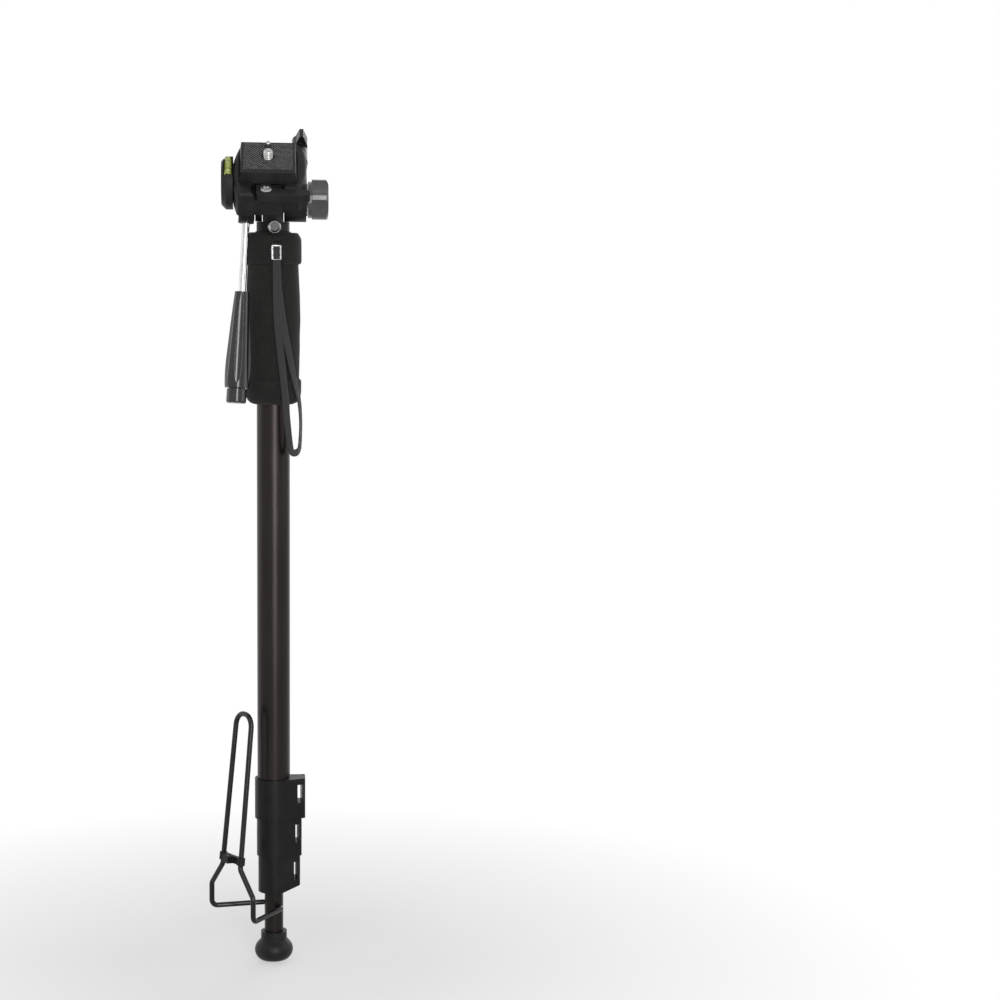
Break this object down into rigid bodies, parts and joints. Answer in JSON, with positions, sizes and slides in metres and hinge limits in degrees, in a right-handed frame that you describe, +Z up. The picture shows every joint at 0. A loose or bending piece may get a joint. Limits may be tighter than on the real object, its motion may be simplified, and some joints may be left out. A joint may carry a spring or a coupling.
{
  "type": "camera monopod",
  "caption": "Folding camera monopod: telescoping tube legs with flip locks, foam grip, wrist strap, fold-out foot loop and a pan and tilt head with a handle.",
  "frame": {"origin": "tip of the spike, on the axis of the tubes", "axes": "+Z up along the tubes, +X towards the round knob, +Y away from the user, towards the subject"},
  "size_m": [0.0827, 0.0668, 0.5796],
  "materials": {
    "anodised": "dark anodised, satin",
    "tube_inner": "dark anodised, satin",
    "foam": "fine charcoal foam",
    "webbing": "black flat webbing",
    "label": "bare silver foil",
    "collar": "black, fine moulded texture",
    "lever": "black, smooth",
    "steel": "turned steel",
    "chrome": "polished",
    "rubber": "matte black rubber",
    "black_wire": "black coated wire",
    "moulded": "black moulded plastic",
    "glossy": "glossy black plastic",
    "white_plastic": "slippery liner plastic",
    "pad": "knurled rubber",
    "vial": "yellow-green spirit vial",
    "brass": "plain brass"
  },
  "bodies": {
    "column": {"tube_1": "anodised", "lock_collar_1": "collar", "lever_pin_1": "steel", "lock_bolt_1": "steel", "foam_grip": "foam", "wrist_strap": "webbing", "strap_ferrule": "steel", "tube_label": "label", "mount_cap": "moulded"},
    "section_2": {"tube_2": "tube_inner", "tube_bush_2": "white_plastic", "lock_collar_2": "collar", "lever_pin_2": "steel", "lock_bolt_2": "steel"},
    "section_3": {"tube_3": "tube_inner", "tube_bush_3": "white_plastic", "lock_collar_3": "collar", "lever_pin_3": "steel", "lock_bolt_3": "steel"},
    "section_4": {"tube_4": "anodised", "tube_bush_4": "white_plastic", "foot_plug": "moulded", "spike": "steel"},
    "boot": {"rubber_foot": "rubber"},
    "foot_loop": {"stirrup": "black_wire", "stirrup_clip": "moulded"},
    "lever_1": {"lock_lever_1": "lever"},
    "lever_2": {"lock_lever_2": "lever"},
    "lever_3": {"lock_lever_3": "lever"},
    "turning_base": {"pan_body": "moulded", "pan_screw": "steel", "pan_washer": "steel"},
    "base_lock": {"pan_lock_knob": "steel"},
    "tilting_body": {"tilt_body": "moulded", "tilt_axle": "steel", "tongue_washer_left": "white_plastic", "tongue_washer_right": "white_plastic", "handle_washer": "white_plastic", "serrated_washer": "steel"},
    "round_knob": {"tilt_knob": "glossy", "knob_insert": "brass"},
    "handle_arm": {"handle_boss": "moulded"},
    "handle": {"handle_rod": "chrome", "handle_grip": "glossy", "handle_end_cap": "glossy"},
    "top_platform": {"platform": "moulded", "flip_bolt": "steel", "level_housing": "moulded", "level_vial": "vial", "camera_plate": "moulded", "plate_pad": "pad", "lever_screw": "steel", "lever_spring": "steel", "pin_spring": "steel"},
    "wing": {"wing_knob": "lever"},
    "release": {"release_lever": "moulded"},
    "mounting_screw": {"camera_screw": "steel", "screw_clip": "steel"},
    "twist_pin": {"video_pin": "steel"}
  },
  "joints": [
    {"name": "extend_1", "type": "slide", "parent": "column", "child": "section_2", "axis": [0, 0, -1], "range_m": [0, 0.355]},
    {"name": "extend_2", "type": "slide", "parent": "section_2", "child": "section_3", "axis": [0, 0, -1], "range_m": [0, 0.375]},
    {"name": "extend_3", "type": "slide", "parent": "section_3", "child": "section_4", "axis": [0, 0, -1], "range_m": [0, 0.39]},
    {"name": "lock_lever_1_turn", "type": "hinge", "parent": "column", "child": "lever_1", "pos_m": [0.02025, 0.006, 0.1206], "axis": [0, 0, 1], "range_deg": [0, 110]},
    {"name": "lock_lever_2_turn", "type": "hinge", "parent": "section_2", "child": "lever_2", "pos_m": [0.01775, 0.006, 0.0923], "axis": [0, 0, 1], "range_deg": [0, 110]},
    {"name": "lock_lever_3_turn", "type": "hinge", "parent": "section_3", "child": "lever_3", "pos_m": [0.01665, 0.006, 0.0659], "axis": [0, 0, 1], "range_deg": [0, 110]},
    {"name": "boot_screw_up", "type": "slide", "parent": "section_4", "child": "boot", "axis": [0, 0, 1], "range_m": [-0.004, 0.005]},
    {"name": "foot_loop_fold", "type": "hinge", "parent": "section_4", "child": "foot_loop", "pos_m": [0, 0, 0.0404], "axis": [0.5592, -0.829, 0], "range_deg": [-3, 95]},
    {"name": "pan", "type": "hinge", "parent": "column", "child": "turning_base", "pos_m": [0, 0, 0.5124], "axis": [0, 0, 1], "continuous": true},
    {"name": "pan_lock_turn", "type": "hinge", "parent": "turning_base", "child": "base_lock", "pos_m": [0.001, -0.0215, 0.5118], "axis": [0, -1, 0], "continuous": true},
    {"name": "tilt", "type": "hinge", "parent": "turning_base", "child": "tilting_body", "pos_m": [0, 0, 0.531], "axis": [1, 0, 0], "range_deg": [-85, 8]},
    {"name": "round_knob_turn", "type": "hinge", "parent": "tilting_body", "child": "round_knob", "pos_m": [0.0316, 0, 0.531], "axis": [1, 0, 0], "continuous": true},
    {"name": "handle_swing", "type": "hinge", "parent": "turning_base", "child": "handle_arm", "pos_m": [-0.0171, 0, 0.531], "axis": [1, 0, 0], "range_deg": [-30, 3]},
    {"name": "handle_twist", "type": "hinge", "parent": "handle_arm", "child": "handle", "pos_m": [-0.0171, -0.01042, 0.53228], "axis": [0.0558, 0.1217, 0.991], "continuous": true},
    {"name": "flip", "type": "hinge", "parent": "tilting_body", "child": "top_platform", "pos_m": [0.0182, -0.01272, 0.54643], "axis": [0, 0.7716, 0.6361], "range_deg": [0, 90]},
    {"name": "wing_knob_turn", "type": "hinge", "parent": "top_platform", "child": "wing", "pos_m": [0.0182, 0.01429, 0.56869], "axis": [0, 0.7716, 0.6361], "continuous": true},
    {"name": "release_lever_swing", "type": "hinge", "parent": "top_platform", "child": "release", "pos_m": [-0.0046, -0.03371, 0.53432], "axis": [0, 0.6361, -0.7716], "range_deg": [0, 45], "stiffness_Nm_per_rad": 0.02, "springref_deg": -17.19},
    {"name": "camera_screw_turn", "type": "hinge", "parent": "top_platform", "child": "mounting_screw", "pos_m": [-0.0032, -0.02385, 0.55994], "axis": [0, -0.6361, 0.7716], "continuous": true},
    {"name": "twist_pin_press", "type": "slide", "parent": "top_platform", "child": "twist_pin", "axis": [0, -0.6361, 0.7716], "range_m": [-0.0032, 0], "stiffness_N_per_m": 250, "springref_m": 0.002, "deforming": ["pin_spring"]}
  ]
}
